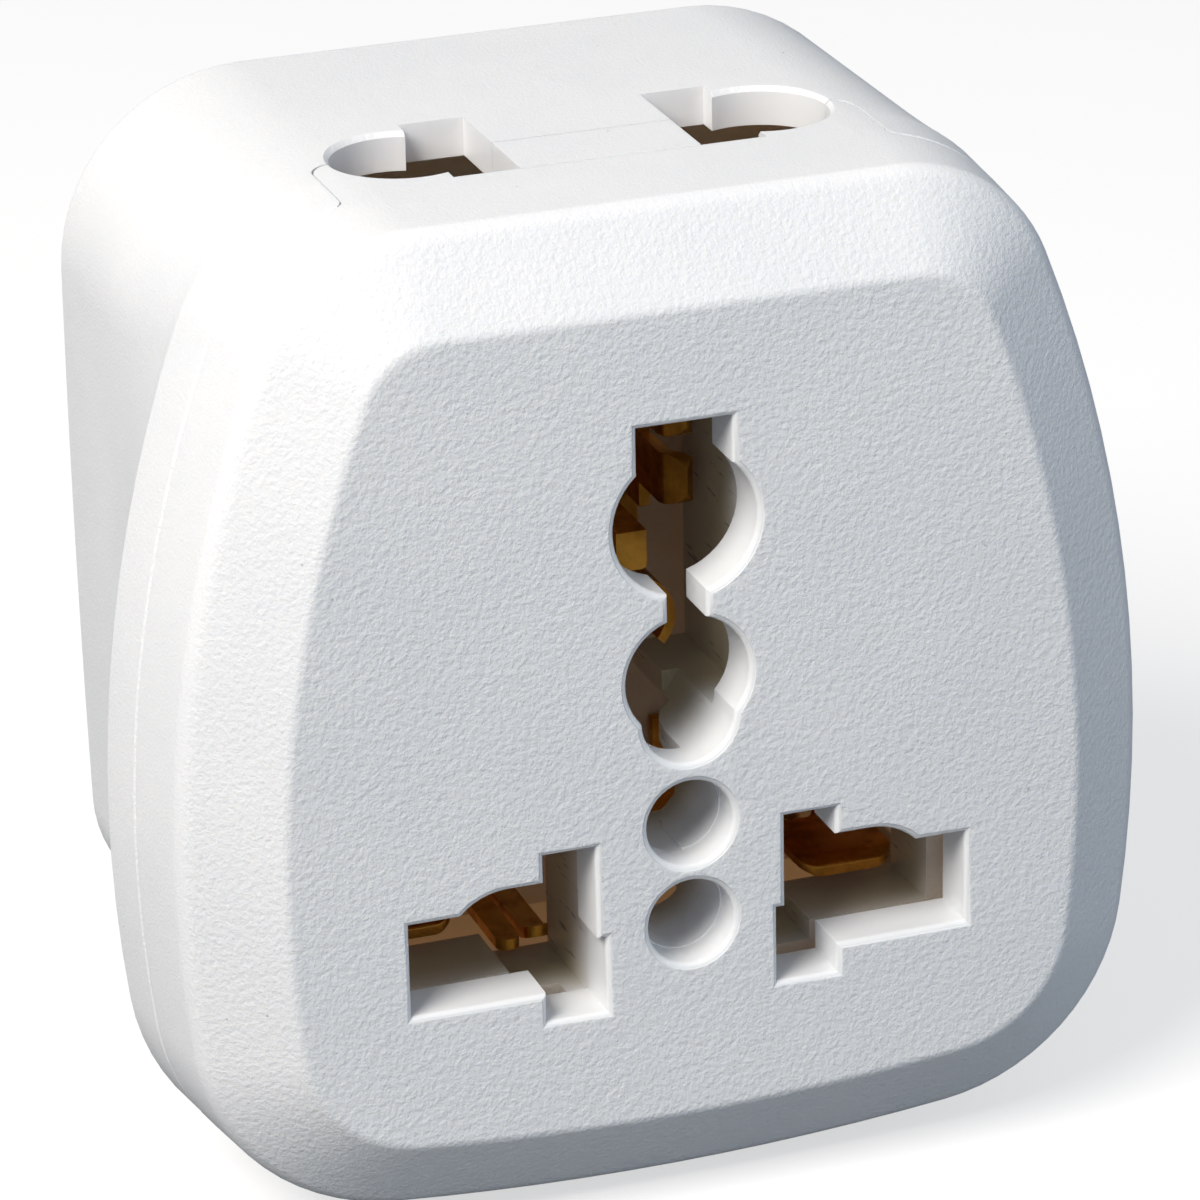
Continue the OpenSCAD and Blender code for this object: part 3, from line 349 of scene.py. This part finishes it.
def inner_nylon(name):
    """Cream nylon, slightly mottled."""
    m = Material(name)
    tone = m.step(m.noise(5 * MM, roughness=0.6), 0.3, 0.7)
    return m.finish(
        Base_Color=m.mix(tone, (0.62, 0.60, 0.54), (0.70, 0.68, 0.62)),
        Roughness=m.step(m.noise(0.6 * MM), 0.3, 0.7, to_low=0.42, to_high=0.58),
        Normal=m.bump(m.noise(0.25 * MM, detail=4, roughness=0.55), 0.02 * MM, strength=0.5),
        Subsurface_Weight=0.15, Subsurface_Scale=0.8 * MM)


def sleeve_black(name):
    """Black sleeves, rubbed along the pin."""
    m = Material(name)
    rub = m.noise(0.4 * MM, detail=4, roughness=0.6, stretch=(1, 0.2, 1))
    return m.finish(
        Base_Color=m.mix(m.noise(1.5 * MM, detail=4, roughness=0.6),
                         (0.018, 0.018, 0.021), (0.034, 0.034, 0.038)),
        Roughness=m.step(rub, 0.3, 0.7, to_low=0.26, to_high=0.44),
        Normal=m.bump(m.noise(0.2 * MM, stretch=(1, 0.15, 1)), 0.008 * MM, strength=0.5))


def ceramic(name):
    """Off-white fuse body with a thin glaze and brown specks."""
    m = Material(name)
    tone = m.step(m.noise(2 * MM, detail=4, roughness=0.55), 0.3, 0.7)
    base = m.mix(tone, (0.78, 0.75, 0.67), (0.86, 0.84, 0.78))
    specks = m.below(m.cells(0.7 * MM), 0.02, 0.05)
    return m.finish(
        Base_Color=m.mix(m.product(specks, SPECK_AMOUNT), base, (0.42, 0.36, 0.28)),
        Roughness=m.step(tone, 0, 1, to_low=0.16, to_high=0.26),
        Normal=m.bump(m.noise(0.8 * MM), 0.012 * MM, strength=0.5),
        Coat_Weight=0.5, Coat_Roughness=0.08)


shell = moulded_white("white_abs", outer_skin=True)
drawer = moulded_white("white_abs_drawer", outer_skin=False)
LOOKS = {
    "shell": [shell],
    "inner_nylon": [inner_nylon("nylon")],
    "brass": metal_looks("brass", BRASS),
    "spring_bronze": metal_looks("bronze", BRONZE),
    "plated_steel": metal_looks("plated", PLATE),
    "sleeve_black": [sleeve_black("sleeve")],
    "ceramic": [ceramic("ceramic")],
}
PIN_LOOKS = metal_looks("pin_brass", PIN_BRASS)


# ---- smooth shading and soft edges on the CAD nodes ------------------------------------------

SHARP = math.radians(32)
SOFT_EDGE = math.radians(35)
FLAT = math.radians(0.3)
WELD = 0.001 * MM
EDGE_SEGMENTS = 3
LARGE_FACE_WEIGHT = 60
EDGE_RADIUS = {
    "brass": 0.07 * MM, "spring_bronze": 0.06 * MM, "plated_steel": 0.04 * MM,
    "inner_nylon": 0.12 * MM, "sleeve_black": 0.15 * MM, "ceramic": 0.12 * MM,
}
DRAWER_EDGE_RADIUS = 0.2 * MM
PIN_EDGE_RADIUS = 0.25 * MM
PINS = ("live_pin", "neutral_pin", "earth_pin")


def smoothing_group():
    """Geometry nodes that drop a CAD mesh's own normals and shade it smooth up to SHARP."""
    tree = bpy.data.node_groups.new("smooth_by_angle", "GeometryNodeTree")
    tree.interface.new_socket("Geometry", in_out="INPUT", socket_type="NodeSocketGeometry")
    tree.interface.new_socket("Geometry", in_out="OUTPUT", socket_type="NodeSocketGeometry")
    nodes = Nodes(tree)
    mesh = nodes.add("NodeGroupInput")
    mesh = nodes.add("GeometryNodeRemoveAttribute", inputs={0: mesh, "Name": "custom_normal"})
    mesh = nodes.add("GeometryNodeSetShadeSmooth", inputs={0: mesh}, domain="FACE")
    angle = nodes.add("GeometryNodeInputMeshEdgeAngle", output="Unsigned Angle")
    blunt = nodes.add("FunctionNodeCompare", inputs={0: angle, 1: SHARP}, operation="LESS_THAN")
    mesh = nodes.add("GeometryNodeSetShadeSmooth", inputs={0: mesh, "Shade Smooth": blunt},
                     domain="EDGE")
    nodes.plug(tree.nodes.new("NodeGroupOutput").inputs[0], mesh)
    return tree


SMOOTHING = smoothing_group()


def soften(piece, edge_radius):
    """Joins a CAD node's faces, rounds its sharp edges by edge_radius and shades it smooth."""
    weld = piece.modifiers.new("weld", "WELD")
    weld.merge_threshold = WELD
    if edge_radius:
        flatten = piece.modifiers.new("flatten", "DECIMATE")
        flatten.decimate_type = "DISSOLVE"
        flatten.angle_limit = FLAT
        bevel = piece.modifiers.new("soft_edges", "BEVEL")
        bevel.width = edge_radius
        bevel.segments = EDGE_SEGMENTS
        bevel.limit_method = "ANGLE"
        bevel.angle_limit = SOFT_EDGE
        bevel.use_clamp_overlap = True
        if len(piece.material_slots) > 1:
            bevel.material = 1      # the rubbed look
    smooth = piece.modifiers.new("smooth", "NODES")
    smooth.node_group = SMOOTHING
    weighted = piece.modifiers.new("even_normals", "WEIGHTED_NORMAL")
    weighted.keep_sharp = True
    weighted.weight = LARGE_FACE_WEIGHT


def dress(piece, looks):
    piece.data.materials.clear()
    for look in looks:
        piece.data.materials.append(look)


slots = {part["node"]: part["material_slot"] for part in frame["record"]["subparts"]}

for name, piece in frame["nodes"].items():
    slot = slots[name]
    looks = LOOKS[slot]
    radius = EDGE_RADIUS.get(slot, 0)
    if name == "fuse_carrier":
        looks = [drawer]
        radius = DRAWER_EDGE_RADIUS
    if name in PINS:
        looks = PIN_LOOKS
        radius = PIN_EDGE_RADIUS
    dress(piece, looks)
    soften(piece, radius)


# ---- stage, light and camera -----------------------------------------------------------------

def floor_material():
    m = Material("stage_white")
    m.finish(Base_Color=m.mix(m.noise(60 * MM, detail=2), *FLOOR_TONES), Roughness=0.9,
             Emission_Color=WHITE, Emission_Strength=FLOOR_GLOW)
    dim = m.add("ShaderNodeBsdfDiffuse", inputs={"Color": FLOOR_BOUNCE})
    surface = m.tree.nodes["Material Output"].inputs["Surface"]
    m.plug(surface, m.seen_or_lit(m.shader.outputs[0], dim))
    return m.material


def make_floor():
    bpy.ops.mesh.primitive_plane_add(size=FLOOR_SIZE, location=(0, 0, cad_low.z - FLOOR_GAP))
    floor = bpy.context.object
    floor.name = "floor"
    floor.data.materials.append(floor_material())


def make_world():
    """A surround that the camera sees as white, and that lights as a gradient up the sky."""
    world = bpy.data.worlds.new("studio")
    world.use_nodes = True
    sky = Nodes(world.node_tree)
    ambient = sky.tree.nodes["Background"]
    height = sky.axes("Generated")["Z"]
    sky.plug(ambient.inputs["Color"], sky.mix(height, AMBIENT_LOW, AMBIENT_HIGH))
    white = sky.add("ShaderNodeBackground", inputs={"Color": WHITE})
    surface = sky.tree.nodes["World Output"].inputs["Surface"]
    sky.plug(surface, sky.seen_or_lit(white, ambient.outputs[0]))
    bpy.context.scene.world = world


def area_light(name, direction, size, power, colour):
    """A round lamp in a direction from the object's middle, aimed at it."""
    light = bpy.data.lights.new(name, "AREA")
    light.shape = "DISK"
    light.size = size
    light.energy = power
    light.color = colour
    lamp = bpy.data.objects.new(name, light)
    lamp.location = MIDDLE + direction.normalized() * LAMP_DISTANCE
    lamp.rotation_mode = "QUATERNION"
    lamp.rotation_quaternion = (-direction).to_track_quat("-Z", "Y")
    bpy.context.scene.collection.objects.link(lamp)


def make_camera():
    a, e, r = CAMERA_AZIMUTH, CAMERA_ELEVATION, CAMERA_ROLL
    right = Vector((math.cos(a), math.sin(a), 0))
    back = Vector((math.sin(a) * math.cos(e), -math.cos(a) * math.cos(e), math.sin(e)))
    up = Vector((-math.sin(e) * math.sin(a), math.sin(e) * math.cos(a), math.cos(e)))
    across = math.cos(r) * right + math.sin(r) * up
    upward = -math.sin(r) * right + math.cos(r) * up
    place = CAMERA_TARGET + CAMERA_SHIFT[0] * across + CAMERA_SHIFT[1] * upward
    place = place + CAMERA_DISTANCE * back
    turn = Matrix((across, upward, back)).transposed().to_4x4()
    camera = bpy.data.objects.new("camera", bpy.data.cameras.new("camera"))
    camera.data.lens = CAMERA_LENS
    camera.data.sensor_width = CAMERA_SENSOR
    camera.data.clip_start, camera.data.clip_end = CAMERA_CLIP
    camera.matrix_world = Matrix.Translation(place) @ turn
    bpy.context.scene.collection.objects.link(camera)
    bpy.context.scene.camera = camera


make_floor()
make_world()
area_light("key", KEY_DIRECTION, KEY_SIZE, KEY_POWER, KEY_COLOUR)
area_light("fill", FILL_DIRECTION, FILL_SIZE, FILL_POWER, FILL_COLOUR)
make_camera()
bpy.context.scene.view_settings.view_transform = "Standard"
